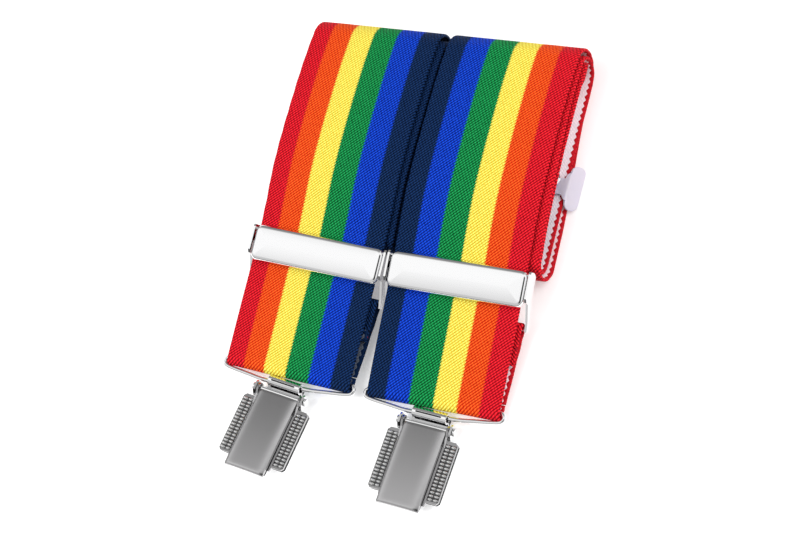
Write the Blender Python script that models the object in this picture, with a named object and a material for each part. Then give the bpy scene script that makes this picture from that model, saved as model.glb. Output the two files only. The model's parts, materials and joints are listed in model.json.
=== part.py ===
"""A pair of wide X-back suspenders, folded flat into a bundle and lying on its back.

Frame: +Z is up, away from the surface that the bundle lies on. +Y runs up the straps, from the front
clips to the fold at the top of the bundle. +X is across the straps, towards the wearer's left strap.
Lengths below are in millimetres and angles in degrees. MM turns them into Blender's metres.

The drawing frame has X = 0 midway between the straps, Y = 0 at the bundle's lower fold and Z = 0 at its
underside. The empty "datum" shifts it so that the origin is under the middle of the whole object.
"""

import math

import bmesh
import bpy
from mathutils import Matrix, Vector

MM = 0.001

# Overall placing of the drawing frame in the part's frame
DATUM_SHIFT_X = -1.21
DATUM_SHIFT_Y = 0.69

# Webbing
WEB_WIDTH = 50.0
WEB_THICK = 1.4
HALF_WEB = WEB_THICK / 2
LAYER_PITCH = 1.75
COLUMN_X = 27.0
SIDES = {"left": -1, "right": 1}

# Bundle: height of its upper surface along Y, and where its folds turn
TOP_PROFILE = (
    (2.0, 14.5),
    (10.0, 16.5),
    (20.0, 18.6),
    (30.0, 19.8),
    (40.0, 20.3),
    (56.0, 20.4),
    (68.0, 19.9),
    (76.5, 19.0),
)
BACK_OUTER_Z = HALF_WEB
BACK_INNER_Z = BACK_OUTER_Z + LAYER_PITCH
CROSSING_Z = {"left": 5.25, "right": 6.95}
REAR_END_PROFILE = ((8.5, 9.0), (14.0, 9.45), (20.0, 9.8), (34.0, 9.85))
REAR_WIRE_Y = 34.0
REAR_WIRE_Z = 11.75
REAR_TAIL = 15.0

# How far each layer's edges stand out past the front layer's, at the lower and the upper fold
LAYER_DRIFT = {
    "left": {
        "back_outer": (-0.2, -0.2),
        "front_2": (2.0, 2.6),
        "back_inner": (0.8, 1.2),
        "front_3": (3.0, 3.0),
    },
    "right": {
        "back_outer": (4.4, 0.6),
        "front_2": (3.4, 1.4),
        "back_inner": (2.4, 1.6),
        "front_3": (3.2, 2.8),
    },
}

# Front ends: straight run of webbing from the bundle down to the wire loop
RUN_TOP_Y = 2.0
RUN_SLOPE = {"left": 9.6, "right": 10.8}
RUN_YAW = {"left": 2.6, "right": 0.2}
YAW_PIVOT_Y = 13.0
YAW_START_Y = 24.0
ADJUSTER_Y = {"left": -5.0, "right": -5.8}
WIRE_AT = -42.3

# Wire loop and clip
WIRE_R = 0.8
RUNNING_GAP = 0.3
WIRE_WRAP_R = WIRE_R + RUNNING_GAP + HALF_WEB
LOOP_REACH = 5.4
CLIP_SKEW = {"left": 4.3, "right": 3.0}
CLIP_PITCH = {"left": 6.0, "right": 3.5}
REAR_CLIP_PITCH = -1.2
SHEET = 0.8
CLIP_WIDTH = 27.0
LEVER_WIDTH = 16.0
EYE_R = 2.0
EYE_HALF = 6.5
EYE_BORE_R = 1.3
PIN_R = 0.8
PIN_Y = -4.05
PIN_Z = 0.6
BARREL_R = 1.8
EAR_INNER = 9.4

# Adjuster, in the frame of the webbing run: y up the strap, z out of its face
COVER_HALF_WIDTH = 25.8
COVER_PIVOT_Y = 5.0
COVER_PIVOT_Z = 2.5
STUD_R = 0.5
STUD_REACH = 24.9
ADJUSTER_SHIFT = {"left": 0.8, "right": 0.8}
RETURN_SHIFT = {"left": 1.7, "right": 1.2}
FRAME_LEG_INNER = 26.2
TAIL_BAR_Y = -13.0
TAIL_BAR_Z = -3.7
TAIL_BAR_HALF = 0.6
TAIL_WRAP_R = TAIL_BAR_HALF + RUNNING_GAP + HALF_WEB
TAIL_END_Y = -26.0

# Back patch and the plastic clip that holds the bundle
PATCH_CENTRE_Y = 41.0
PATCH_HALF = 22.0
PATCH_THICK = 0.8
PACKING_CLIP_Y = 36.0

ROUND_SIDES = 16


# ---------------------------------------------------------------- materials


def material(name, colour, roughness, metallic=0.0):
    made = bpy.data.materials.new(name)
    made.use_nodes = True
    shader = made.node_tree.nodes["Principled BSDF"]
    shader.inputs["Base Color"].default_value = (*colour, 1.0)
    shader.inputs["Roughness"].default_value = roughness
    shader.inputs["Metallic"].default_value = metallic
    made.diffuse_color = (*colour, 1.0)
    return made


# ---------------------------------------------------------------- curves and profiles


def smooth_step(t):
    t = min(1.0, max(0.0, t))
    return t * t * (3 - 2 * t)


def eased(t, ease=0.12):
    """From 0 to 1 at an even rate, with a soft start and stop over the share ease of the way."""
    t = min(1.0, max(0.0, t))
    speed = 1 / (1 - ease)
    if t < ease:
        return speed * t * t / (2 * ease)
    if t > 1 - ease:
        return 1 - speed * (1 - t) ** 2 / (2 * ease)
    return speed * (t - ease / 2)


def profile_height(points, y):
    """Height at y of the smooth curve through points, straight beyond its ends."""
    slopes = []
    for i in range(len(points)):
        low = points[max(i - 1, 0)]
        high = points[min(i + 1, len(points) - 1)]
        slopes.append((high[1] - low[1]) / (high[0] - low[0]))
    if y <= points[0][0]:
        return points[0][1] + slopes[0] * (y - points[0][0])
    if y >= points[-1][0]:
        return points[-1][1] + slopes[-1] * (y - points[-1][0])
    i = max(k for k in range(len(points) - 1) if points[k][0] <= y)
    (y0, z0), (y1, z1) = points[i], points[i + 1]
    span = y1 - y0
    t = (y - y0) / span
    return (
        (2 * t**3 - 3 * t**2 + 1) * z0
        + (t**3 - 2 * t**2 + t) * span * slopes[i]
        + (3 * t**2 - 2 * t**3) * z1
        + (t**3 - t**2) * span * slopes[i + 1]
    )


def front_layer(depth):
    """Height function of the front layer with that many layers of webbing over it."""
    return lambda y: profile_height(TOP_PROFILE, y) - HALF_WEB - depth * LAYER_PITCH


def flat_layer(z):
    return lambda y: z


def rear_end_layer(y):
    return profile_height(REAR_END_PROFILE, y)


# ---------------------------------------------------------------- route of one strap


def straight_pass(layer, y_from, y_to, x_from, x_to, steps, easing=smooth_step):
    """Centreline points (x, y, z) of one pass up or down the bundle."""
    points = []
    for i in range(steps + 1):
        t = i / steps
        y = y_from + (y_to - y_from) * t
        points.append((x_from + (x_to - x_from) * easing(t), y, layer(y)))
    return points


def fold(start, end, reach, steps):
    """Half an ellipse from start to end that bulges by reach along Y, without its two ends."""
    middle_y = (start[1] + end[1]) / 2
    middle_z = (start[2] + end[2]) / 2
    half_z = (start[2] - end[2]) / 2
    points = []
    for i in range(1, steps):
        angle = math.pi * i / steps
        t = i / steps
        x = start[0] + (end[0] - start[0]) * smooth_step(t)
        points.append((x, middle_y + reach * math.sin(angle), middle_z + half_z * math.cos(angle)))
    return points


def wound_route(side):
    """The strap from the front run's top, round the bundle, across the back and into its rear end."""
    sign = SIDES[side]
    drift = LAYER_DRIFT[side]
    own = sign * COLUMN_X
    other = -sign * (COLUMN_X + 0.4)
    (xb_low, xb_top), (x2_low, x2_top) = (
        [own + d for d in drift[layer]] for layer in ("back_outer", "front_2")
    )
    (xi_low, xi_top), (x3_low, x3_top) = (
        [own + d for d in drift[layer]] for layer in ("back_inner", "front_3")
    )
    crossing = flat_layer(CROSSING_Z[side])
    legs = [
        straight_pass(front_layer(0), RUN_TOP_Y, 76.5, own, own, 12),
        straight_pass(flat_layer(BACK_OUTER_Z), 76.5, 6.6, xb_top, xb_low, 4),
        straight_pass(front_layer(1), 6.6, 76.0, x2_low, x2_top, 10),
        straight_pass(flat_layer(BACK_INNER_Z), 76.0, 7.2, xi_top, xi_low, 4),
        straight_pass(front_layer(2), 7.2, 75.5, x3_low, x3_top, 10),
        straight_pass(crossing, 75.5, 8.5, own, other, 12, eased),
        straight_pass(rear_end_layer, 8.5, REAR_WIRE_Y, other, other, 6),
    ]
    reaches = (8.3, -5.9, 5.9, -4.2, 3.9, -1.7)
    route = list(legs[0])
    for leg, reach in zip(legs[1:], reaches):
        route += fold(route[-1], leg[0], reach, 10 if abs(reach) > 3 else 6)
        route += leg
    return route


def wrap(centre_y, centre_z, radius, from_angle, to_angle, steps):
    """(y, z) points of an arc round a wire or bar."""
    points = []
    for i in range(steps + 1):
        angle = math.radians(from_angle + (to_angle - from_angle) * i / steps)
        points.append((centre_y + radius * math.cos(angle), centre_z + radius * math.sin(angle)))
    return points


def rear_wrap(side):
    """The strap's rear end, turned round the rear wire and back along itself."""
    x = -SIDES[side] * (COLUMN_X + 0.4)
    arc = wrap(REAR_WIRE_Y, REAR_WIRE_Z, WIRE_WRAP_R, -90, 90, 8)[1:]
    tail = [
        (REAR_WIRE_Y - 4.0, REAR_WIRE_Z + WIRE_WRAP_R - 0.55),
        (REAR_WIRE_Y - 8.0, REAR_WIRE_Z + WIRE_WRAP_R - 1.5),
        (REAR_WIRE_Y - REAR_TAIL, REAR_WIRE_Z + WIRE_WRAP_R - 2.2),
    ]
    return [(x, y, z) for y, z in arc + tail]


def run_frame(side):
    """Frame of the webbing run: origin in the webbing under the adjuster's middle, y up the strap."""
    slope, y = math.radians(RUN_SLOPE[side]), ADJUSTER_Y[side]
    z = front_layer(0)(RUN_TOP_Y) + (y - RUN_TOP_Y) * math.tan(slope)
    return Matrix.Translation((0, y, z)) @ Matrix.Rotation(slope, 4, "X")


def front_run(side):
    """The front run from the butt under the wire loop, round the wire and up to the bundle."""
    x = SIDES[side] * COLUMN_X
    butt = [(WIRE_AT + 2.6, -2 * WIRE_WRAP_R - 0.15), (WIRE_AT + 1.2, -2 * WIRE_WRAP_R - 0.05)]
    arc = wrap(WIRE_AT, -WIRE_WRAP_R, WIRE_WRAP_R, -90, -270, 10)
    run = [(y, 0.0) for y in (-36.0, -24.0, -12.0, 0.0)]
    to_bundle = run_frame(side)
    return [to_bundle @ Vector((x, y, z)) for y, z in butt + arc + run]


def return_run(side):
    """The webbing's way back from under the wire loop, round the adjuster's tail bar to its cut end."""
    x = SIDES[side] * COLUMN_X
    back = [
        (WIRE_AT + 2.95, -2 * WIRE_WRAP_R - 0.17),
        (-34.0, -4.15),
        (-28.0, -4.5),
        (-22.0, -4.85),
        (-17.0, -5.15),
        (TAIL_BAR_Y - 1.0, TAIL_BAR_Z - TAIL_WRAP_R),
    ]
    arc = wrap(TAIL_BAR_Y, TAIL_BAR_Z, TAIL_WRAP_R, -90, 90, 8)
    tail = [(-16.0, -2.2), (-19.0, -2.4), (-22.5, -2.55), (TAIL_END_Y, -2.7)]
    to_bundle = run_frame(side)
    shift = RETURN_SHIFT[side] / (TAIL_BAR_Y - WIRE_AT)
    return [to_bundle @ Vector((x + shift * (y - WIRE_AT), y, z)) for y, z in back + arc + tail]


def yaw_matrix(side, share=1.0):
    """Turns the front end of a strap in its own plane, as it lies a little askew under the bundle."""
    pivot = Matrix.Translation((SIDES[side] * COLUMN_X, YAW_PIVOT_Y, 0))
    turn = Matrix.Rotation(-math.radians(RUN_YAW[side]) * share, 4, "Z")
    return pivot @ turn @ pivot.inverted()


def ribbon(name, side, route, yaw_all, made_of, parent):
    """Webbing of full width along a route of centreline points, as one closed solid."""
    mesh = bmesh.new()
    rings = []
    points = [Vector(p) for p in route]
    for i, point in enumerate(points):
        before = points[max(i - 1, 0)]
        after = points[min(i + 1, len(points) - 1)]
        along = Vector((0, after.y - before.y, after.z - before.z)).normalized()
        normal = Vector((0, -along.z, along.y))
        across = Vector((WEB_WIDTH / 2, 0, 0))
        share = 1.0 if yaw_all[i] else 0.0
        if 0 < yaw_all[i] < 1:
            share = yaw_all[i]
        turn = yaw_matrix(side, share)
        ring = []
        for a, n in ((-1, -1), (1, -1), (1, 1), (-1, 1)):
            corner = turn @ (point + a * across + n * normal * HALF_WEB)
            ring.append(mesh.verts.new(corner * MM))
        rings.append(ring)
    for one, two in zip(rings, rings[1:]):
        for k in range(4):
            mesh.faces.new((one[k], one[(k + 1) % 4], two[(k + 1) % 4], two[k]))
    mesh.faces.new(rings[0][::-1])
    mesh.faces.new(rings[-1])
    return finish_mesh(name, mesh, made_of, parent)


def yaw_shares(route, front_count):
    """Share of the yaw at each point: all of it on the front run, fading out up the first pass."""
    shares = []
    for i, point in enumerate(route):
        if i < front_count:
            shares.append(1.0)
        elif point[1] < YAW_START_Y and i < front_count + 12:
            shares.append(smooth_step((YAW_START_Y - point[1]) / (YAW_START_Y - RUN_TOP_Y)))
        else:
            shares.append(0.0)
    return shares


# ---------------------------------------------------------------- solids


def finish_mesh(name, mesh, made_of, parent):
    bmesh.ops.recalc_face_normals(mesh, faces=mesh.faces)
    data = bpy.data.meshes.new(name)
    mesh.to_mesh(data)
    mesh.free()
    data.materials.append(made_of)
    data.shade_smooth()
    data.set_sharp_from_angle(angle=math.radians(35))
    made = bpy.data.objects.new(name, data)
    bpy.context.scene.collection.objects.link(made)
    made.parent = parent
    return made


def empty(name, matrix, parent):
    made = bpy.data.objects.new(name, None)
    bpy.context.scene.collection.objects.link(made)
    made.parent = parent
    made.matrix_local = Matrix.Translation(matrix.translation * MM) @ matrix.to_3x3().to_4x4()
    return made


def box(x, y, z):
    """Six faces between the two limits on each axis."""
    mesh = bmesh.new()
    bmesh.ops.create_cube(mesh, size=1.0)
    for vert in mesh.verts:
        vert.co = Vector(
            tuple((lo + hi) / 2 + c * (hi - lo) for c, (lo, hi) in zip(vert.co, (x, y, z)))
        )
    return mesh


def plate(outline, low, high, axis="Z"):
    """A flat outline extruded from low to high along an axis. The outline is in the other two axes."""
    mesh = bmesh.new()
    order = {"X": (2, 0, 1), "Z": (0, 1, 2)}[axis]

    def place(u, v, w):
        values = (u, v, w)
        return Vector(tuple(values[k] for k in order))

    lower = [mesh.verts.new(place(u, v, low)) for u, v in outline]
    upper = [mesh.verts.new(place(u, v, high)) for u, v in outline]
    mesh.faces.new(lower)
    mesh.faces.new(upper)
    count = len(outline)
    for i in range(count):
        j = (i + 1) % count
        mesh.faces.new((lower[i], lower[j], upper[j], upper[i]))
    bmesh.ops.recalc_face_normals(mesh, faces=mesh.faces)
    return mesh


def rod(radius, x_from, x_to, y, z, sides=ROUND_SIDES):
    """A cylinder along X."""
    outline = [
        (
            y + radius * math.cos(2 * math.pi * i / sides),
            z + radius * math.sin(2 * math.pi * i / sides),
        )
        for i in range(sides)
    ]
    return plate(outline, x_from, x_to, "X")


def solid(name, pieces, cuts, made_of, parent):
    """One node: the first piece, with the others joined to it and the cuts taken out by Booleans."""
    made = finish_mesh(name, scaled(pieces[0]), made_of, parent)
    operands = [("UNION", piece) for piece in pieces[1:]] + [("DIFFERENCE", cut) for cut in cuts]
    for i, (operation, piece) in enumerate(operands):
        helper = finish_mesh(f"{name}_{operation.lower()}_{i}", scaled(piece), made_of, parent)
        helper.hide_render = True
        helper.display_type = "WIRE"
        modifier = made.modifiers.new(f"{operation.title()} {i}", "BOOLEAN")
        modifier.operation = operation
        modifier.object = helper
        modifier.solver = "EXACT"
    return made


def scaled(mesh):
    for vert in mesh.verts:
        vert.co *= MM
    return mesh


def mirrored(pairs):
    return [(-x, y) for x, y in reversed(pairs)]


# ---------------------------------------------------------------- wire loop and clip


def wire_loop(name, made_of, parent):
    """A closed wire loop with its long bar at the origin and its short bar at y = -LOOP_REACH."""
    half = [
        (0.0, 0.0),
        (24.5, 0.0),
        (25.8, -0.6),
        (26.3, -1.9),
        (25.6, -3.1),
        (24.1, -3.8),
        (10.6, -5.2),
        (9.2, -LOOP_REACH),
    ]
    points = half + mirrored(half[1:])
    sides = 8
    mesh = bmesh.new()
    rings = []
    count = len(points)
    for i, (x, y) in enumerate(points):
        before = Vector(points[i - 1])
        after = Vector(points[(i + 1) % count])
        here = Vector((x, y))
        arriving = (here - before).normalized()
        leaving = (after - here).normalized()
        outward = (Vector((arriving.y, -arriving.x)) + Vector((leaving.y, -leaving.x))).normalized()
        stretch = 1 / max(0.5, outward.dot(Vector((arriving.y, -arriving.x))))
        ring = []
        for k in range(sides):
            angle = 2 * math.pi * (k + 0.5) / sides
            out = WIRE_R * math.cos(angle) * stretch
            up = WIRE_R * math.sin(angle)
            ring.append(mesh.verts.new(Vector((x + outward.x * out, y + outward.y * out, up)) * MM))
        rings.append(ring)
    for i in range(count):
        one, two = rings[i], rings[(i + 1) % count]
        for k in range(sides):
            mesh.faces.new((one[k], one[(k + 1) % sides], two[(k + 1) % sides], two[k]))
    return finish_mesh(name, mesh, made_of, parent)


def wing_outline(x_half, y_top, y_end, tongue_half, tongue_end):
    """A plate with wings at its sides, waisted near the hinge, and a tongue past the wings."""
    half = [
        (0.0, y_top),
        (tongue_half, y_top),
        (tongue_half, -7.4),
        (x_half - 1.0, -7.4),
        (x_half, -8.4),
        (x_half, y_end + 0.9),
        (x_half - 0.8, y_end),
        (tongue_half, y_end),
        (tongue_half - 0.3, tongue_end),
    ]
    return half + mirrored(half[1:])


def clip_body(name, made_of, parent):
    """Back jaw: base plate with toothed wings, the eye for the wire loop, and the ears of the hinge."""
    base_low, base_high = -2.5, -2.5 + SHEET
    base = plate(wing_outline(CLIP_WIDTH / 2, 0.0, -29.8, 7.3, -33.2), base_low, base_high)
    pieces = [base, rod(EYE_R, -EYE_HALF, EYE_HALF, 0, 0)]
    ear = [(-1.9, base_low), (-1.9, 1.7), (-2.6, 2.3), (-5.6, 2.3), (-7.1, 0.4), (-7.1, base_low)]
    for x in (-EAR_INNER - SHEET, EAR_INNER):
        pieces.append(plate(ear, x, x + SHEET, "X"))
        span = tuple(sorted((x + SHEET / 2, math.copysign(6.0, x))))
        pieces.append(box(span, (-7.0, -2.4), (base_low, base_high)))
    for i in range(5):
        x = -5.2 + 2.6 * i
        tooth = [(-32.8, base_low + 0.2), (-31.8, base_low + 0.2), (-32.5, base_high + 0.5)]
        pieces.append(plate(tooth, x - 0.5, x + 0.5, "X"))
    bore = rod(EYE_BORE_R, -8.0, 8.0, 0, 0, 12)
    pin_bore = rod(PIN_R + RUNNING_GAP, -12.0, 12.0, PIN_Y, PIN_Z, 12)
    return solid(name, pieces, [bore, pin_bore], made_of, parent)


def clip_jaw(name, made_of, parent):
    """Front jaw, drawn from the hinge pin: a plate with knurled wings, and two ears round the pin."""
    low, high = -0.6 - PIN_Z, 0.2 - PIN_Z
    outline = [(x, y - PIN_Y) for x, y in wing_outline(CLIP_WIDTH / 2, -6.4, -29.8, 9.05, -31.4)]
    pieces = [plate(outline, low, high)]
    for x in (-9.1, 8.3):
        ring = [(BARREL_R * math.cos(a), BARREL_R * math.sin(a)) for a in (0.0, 0.6, 1.2, 1.8, 2.4)]
        ear = [(-6.0, low), (-1.0, -1.5), (1.2, -1.35)] + ring + [(-2.4, 0.4), (-6.0, high)]
        pieces.append(plate(ear, x, x + SHEET, "X"))
    lip = [(-27.3, high - 0.1), (-27.3, low - 0.7), (-26.6, low - 0.7), (-26.6, high - 0.1)]
    pieces.append(plate(lip, -7.0, 7.0, "X"))
    return solid(name, pieces, [rod(PIN_R + RUNNING_GAP, -12, 12, 0, 0, 12)], made_of, parent)


def clip_lever(name, made_of, parent):
    """Lever, drawn from the hinge pin: a folded channel with a barrel rolled round the pin."""
    crown, shoulder, skirt = 2.0, 1.0, -0.1
    half = LEVER_WIDTH / 2
    outer = [(half, skirt), (half, shoulder), (half - 2.2, crown)]
    inner = [(half - 0.7, skirt), (half - 0.7, shoulder - 0.4), (half - 2.45, crown - 0.75)]
    section = outer + mirrored(outer) + [(-x, z) for x, z in inner] + inner[::-1]
    top, end, rise = -0.6, -30.2, 0.25
    mesh = bmesh.new()
    rings = [[mesh.verts.new((x, y, z + lift)) for x, z in section] for y, lift in ((top, 0), (end, rise))]
    count = len(section)
    for i in range(count):
        j = (i + 1) % count
        mesh.faces.new((rings[0][i], rings[0][j], rings[1][j], rings[1][i]))
    mesh.faces.new(rings[0])
    mesh.faces.new(rings[1][::-1])
    bmesh.ops.recalc_face_normals(mesh, faces=mesh.faces)
    barrel = rod(BARREL_R, -half, half, 0, 0)
    bridge = box((-5.0, 5.0), (-1.6, 0.0), (0.9, BARREL_R - 0.05))
    bore = rod(PIN_R + RUNNING_GAP, -12, 12, 0, 0, 12)
    return solid(name, [mesh, barrel, bridge], [bore], made_of, parent)


def clip_pin(name, made_of, parent):
    """Hinge pin, drawn on its own axis, with a head outside each ear."""
    head_in = EAR_INNER + SHEET + 0.15
    pieces = [rod(PIN_R, -head_in - 0.4, head_in + 0.4, 0, 0, 12)]
    for x in (-head_in - 0.7, head_in):
        pieces.append(rod(1.35, x, x + 0.7, 0, 0, 12))
    return solid(name, pieces, [], made_of, parent)


def clip_assembly(label, loop_matrix, clip_skew, clip_pitch, parent, chrome):
    """A wire loop at the end of a strap and the clip that hangs from it."""
    hinge = empty(f"{label}_loop_axis", loop_matrix, parent)
    wire_loop(f"{label}_wire_loop", chrome, hinge)
    swing = Matrix.Translation((0, -LOOP_REACH, 0)) @ Matrix.Rotation(math.radians(-clip_skew), 4, "Z")
    swing = swing @ Matrix.Rotation(math.radians(clip_pitch), 4, "X")
    eye = empty(f"{label}_clip_axis", swing, hinge)
    clip_body(f"{label}_clip_back_jaw", chrome, eye)
    pin_axis = empty(f"{label}_pin_axis", Matrix.Translation((0, PIN_Y, PIN_Z)), eye)
    clip_pin(f"{label}_clip_hinge_pin", chrome, pin_axis)
    clip_jaw(f"{label}_clip_front_jaw", chrome, pin_axis)
    clip_lever(f"{label}_clip_lever", chrome, pin_axis)


# ---------------------------------------------------------------- adjuster


def adjuster_frame(name, made_of, parent):
    """Back frame of the adjuster: grip bar, tail bar, two side legs and the studs the cover turns on."""
    leg = [
        (6.3, 0.0),
        (6.2, 2.9),
        (5.4, 3.3),
        (-3.2, 3.3),
        (-4.4, 2.4),
        (-4.8, 0.6),
        (-10.8, -2.4),
        (-13.9, -2.9),
        (-13.9, -4.5),
        (-10.6, -4.6),
        (-2.0, -2.1),
        (5.4, -2.0),
    ]
    inner, outer = FRAME_LEG_INNER, FRAME_LEG_INNER + SHEET
    pieces = [
        box((-26.6, 26.6), (0.4, 2.8), (-1.9, -1.1)),
        plate(leg, inner, outer, "X"),
        plate(leg, -outer, -inner, "X"),
        rod(TAIL_BAR_HALF, -26.6, 26.6, TAIL_BAR_Y, TAIL_BAR_Z, 12),
    ]
    for x_low, x_high in ((-26.6, -STUD_REACH), (STUD_REACH, 26.6)):
        pieces.append(rod(STUD_R, x_low, x_high, COVER_PIVOT_Y, COVER_PIVOT_Z, 12))
    return solid(name, pieces, [], made_of, parent)


def adjuster_cover(name, made_of, parent):
    """Cover, drawn from its pivot: a crowned plate over the webbing with an ear at each end."""
    section = [
        (6.5, 2.3),
        (6.3, 2.9),
        (5.4, 3.3),
        (3.5, 3.5),
        (-3.5, 3.5),
        (-5.6, 3.2),
        (-6.4, 2.5),
        (-6.5, 1.1),
        (-5.8, 1.1),
        (-5.7, 2.2),
        (-5.0, 2.6),
        (-3.5, 2.8),
        (3.5, 2.8),
        (5.0, 2.65),
        (5.8, 2.3),
    ]
    ear = [(6.2, 2.6), (6.2, 1.9), (5.6, 1.2), (4.4, 1.15), (3.6, 1.6), (-4.6, 2.3), (-4.6, 3.0), (5.4, 3.1)]
    section, ear = (
        [(y - COVER_PIVOT_Y, z - COVER_PIVOT_Z) for y, z in outline] for outline in (section, ear)
    )
    half = COVER_HALF_WIDTH
    pieces = [plate(section, -half, half, "X")]
    for x in (-half, half - 0.6):
        pieces.append(plate(ear, x, x + 0.6, "X"))
    bores = [rod(STUD_R + 0.3, x - 1.5, x + 1.5, 0, 0, 12) for x in (-half, half)]
    return solid(name, pieces, bores, made_of, parent)


def adjuster_assembly(side, run, parent, chrome):
    slide = empty(f"{side}_adjuster_axis", run, parent)
    adjuster_frame(f"{side}_adjuster_frame", chrome, slide)
    pivot = empty(f"{side}_cover_axis", Matrix.Translation((0, COVER_PIVOT_Y, COVER_PIVOT_Z)), slide)
    adjuster_cover(f"{side}_adjuster_cover", chrome, pivot)


# ---------------------------------------------------------------- patch and packing clip


def back_patch(name, z_low, made_of, parent):
    """One of the two leather plates that the crossing straps are sewn between."""
    half, corner = PATCH_HALF, 7.0
    outline = [
        (corner, PATCH_CENTRE_Y - half),
        (half, PATCH_CENTRE_Y - corner),
        (half, PATCH_CENTRE_Y + corner),
        (corner, PATCH_CENTRE_Y + half),
    ]
    outline += mirrored(outline)
    return solid(name, [plate(outline, z_low, z_low + PATCH_THICK)], [], made_of, parent)


def packing_clip(name, made_of, parent):
    """Flexible plastic clip over the edges of the back layers: inner leg, waist and outer leg."""
    y = PACKING_CLIP_Y
    inner = box((43.0, 48.8), (y - 10.0, y + 9.0), (3.45, 4.25))
    waist = [(3.45, 48.4), (4.25, 48.4), (4.25, 54.6), (2.7, 56.8), (1.9, 56.4), (3.45, 54.4)]
    outer = [(2.7, 54.6), (3.3, 55.5), (0.7, 59.3), (0.2, 58.5)]
    pieces = [inner]
    for outline, low, high in ((waist, y - 3.2, y + 3.0), (outer, y - 8.0, y + 8.5)):
        mesh = bmesh.new()
        ends = [[mesh.verts.new((x, v, z)) for z, x in outline] for v in (low, high)]
        count = len(outline)
        for i in range(count):
            j = (i + 1) % count
            mesh.faces.new((ends[0][i], ends[0][j], ends[1][j], ends[1][i]))
        mesh.faces.new(ends[0])
        mesh.faces.new(ends[1])
        bmesh.ops.recalc_face_normals(mesh, faces=mesh.faces)
        pieces.append(mesh)
    return solid(name, pieces, [], made_of, parent)


# ---------------------------------------------------------------- the whole object


def clear_scene():
    for old in list(bpy.data.objects):
        bpy.data.objects.remove(old)


def build():
    clear_scene()
    webbing = {
        "left": material("webbing left", (0.75, 0.08, 0.05), 0.85),
        "right": material("webbing right", (0.02, 0.12, 0.6), 0.85),
    }
    chrome = material("polished nickel", (0.8, 0.8, 0.82), 0.18, 1.0)
    leather = material("black leather", (0.03, 0.03, 0.03), 0.6)
    plastic = material("milky plastic", (0.85, 0.82, 0.86), 0.35)
    datum = empty("datum", Matrix.Translation((DATUM_SHIFT_X, DATUM_SHIFT_Y, 0)), None)

    for side, sign in SIDES.items():
        front = front_run(side)
        route = front + wound_route(side) + rear_wrap(side)
        ribbon(f"{side}_strap", side, route, yaw_shares(route, len(front)), webbing[side], datum)
        back = return_run(side)
        ribbon(f"{side}_strap_return", side, back, [1.0] * len(back), webbing[side], datum)

        column = Matrix.Translation((sign * COLUMN_X, 0, 0))
        run = yaw_matrix(side) @ column @ run_frame(side)
        shift = Matrix.Translation((ADJUSTER_SHIFT[side], 0, 0))
        adjuster_assembly(side, run @ shift, datum, chrome)
        wire = run @ Vector((0, WIRE_AT, -WIRE_WRAP_R))
        level = Matrix.Translation(wire) @ yaw_matrix(side).to_3x3().to_4x4()
        clip_assembly(f"{side}_front", level, CLIP_SKEW[side], -CLIP_PITCH[side], datum, chrome)

        rear = Matrix.Translation((-sign * (COLUMN_X + 0.4), REAR_WIRE_Y, REAR_WIRE_Z))
        rear = rear @ Matrix.Rotation(math.pi, 4, "Z")
        clip_assembly(f"{side}_rear", rear, 0.0, -REAR_CLIP_PITCH, datum, chrome)

    back_patch("back_patch_outer", 3.45, leather, datum)
    back_patch("back_patch_inner", 7.95, leather, datum)
    packing_clip("packing_clip", plastic, datum)


build()
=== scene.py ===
"""Looks of the folded rainbow suspenders: woven webbing, polished clips and adjusters, plastic clip.

Lengths are in millimetres unless a name ends in _m. The shared frame has +X across the straps, +Y up
them and +Z up from the table. The frames on the metal pieces have x across the strap, y up it and z out
of it.
"""

import json
import math

import bmesh
import bpy
import numpy as np
from mathutils import Matrix, Vector, noise


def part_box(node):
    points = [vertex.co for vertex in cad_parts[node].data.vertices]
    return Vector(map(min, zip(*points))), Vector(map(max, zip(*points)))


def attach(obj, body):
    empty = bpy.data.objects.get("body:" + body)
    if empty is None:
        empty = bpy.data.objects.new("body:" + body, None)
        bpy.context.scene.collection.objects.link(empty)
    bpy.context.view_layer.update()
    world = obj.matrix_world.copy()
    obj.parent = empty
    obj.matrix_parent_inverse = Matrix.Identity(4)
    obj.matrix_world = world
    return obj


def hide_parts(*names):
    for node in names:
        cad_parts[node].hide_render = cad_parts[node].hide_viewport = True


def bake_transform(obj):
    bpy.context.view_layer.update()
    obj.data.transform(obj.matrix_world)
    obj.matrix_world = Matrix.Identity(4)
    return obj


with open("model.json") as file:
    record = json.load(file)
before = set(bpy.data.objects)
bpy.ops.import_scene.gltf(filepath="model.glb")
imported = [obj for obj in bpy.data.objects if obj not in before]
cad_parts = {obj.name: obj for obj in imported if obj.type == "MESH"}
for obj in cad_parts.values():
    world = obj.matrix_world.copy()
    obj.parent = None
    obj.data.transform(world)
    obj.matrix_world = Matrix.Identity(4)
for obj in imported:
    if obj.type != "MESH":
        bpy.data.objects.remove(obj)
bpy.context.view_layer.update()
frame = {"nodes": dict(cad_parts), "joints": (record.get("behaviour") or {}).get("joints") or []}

MM = 0.001
NODES = frame["nodes"]
JOINTS = {joint["name"]: joint for joint in frame["joints"]}
SIDES = {"left": -1, "right": 1}

WEB_WIDTH = 50.0
WEB_THICK = 1.4
# Half the thickness of the visible webbing, which leaves a hair of air between layers
VISUAL_HALF = 0.64
# The webbing turns round the wire loop's bar this much fuller than its solid
TURN_FULLNESS = 1.38

# One repeat of the weave, across and along the webbing
TWILL_ACROSS = 1.28
TWILL_REPEAT = 2.38

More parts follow.
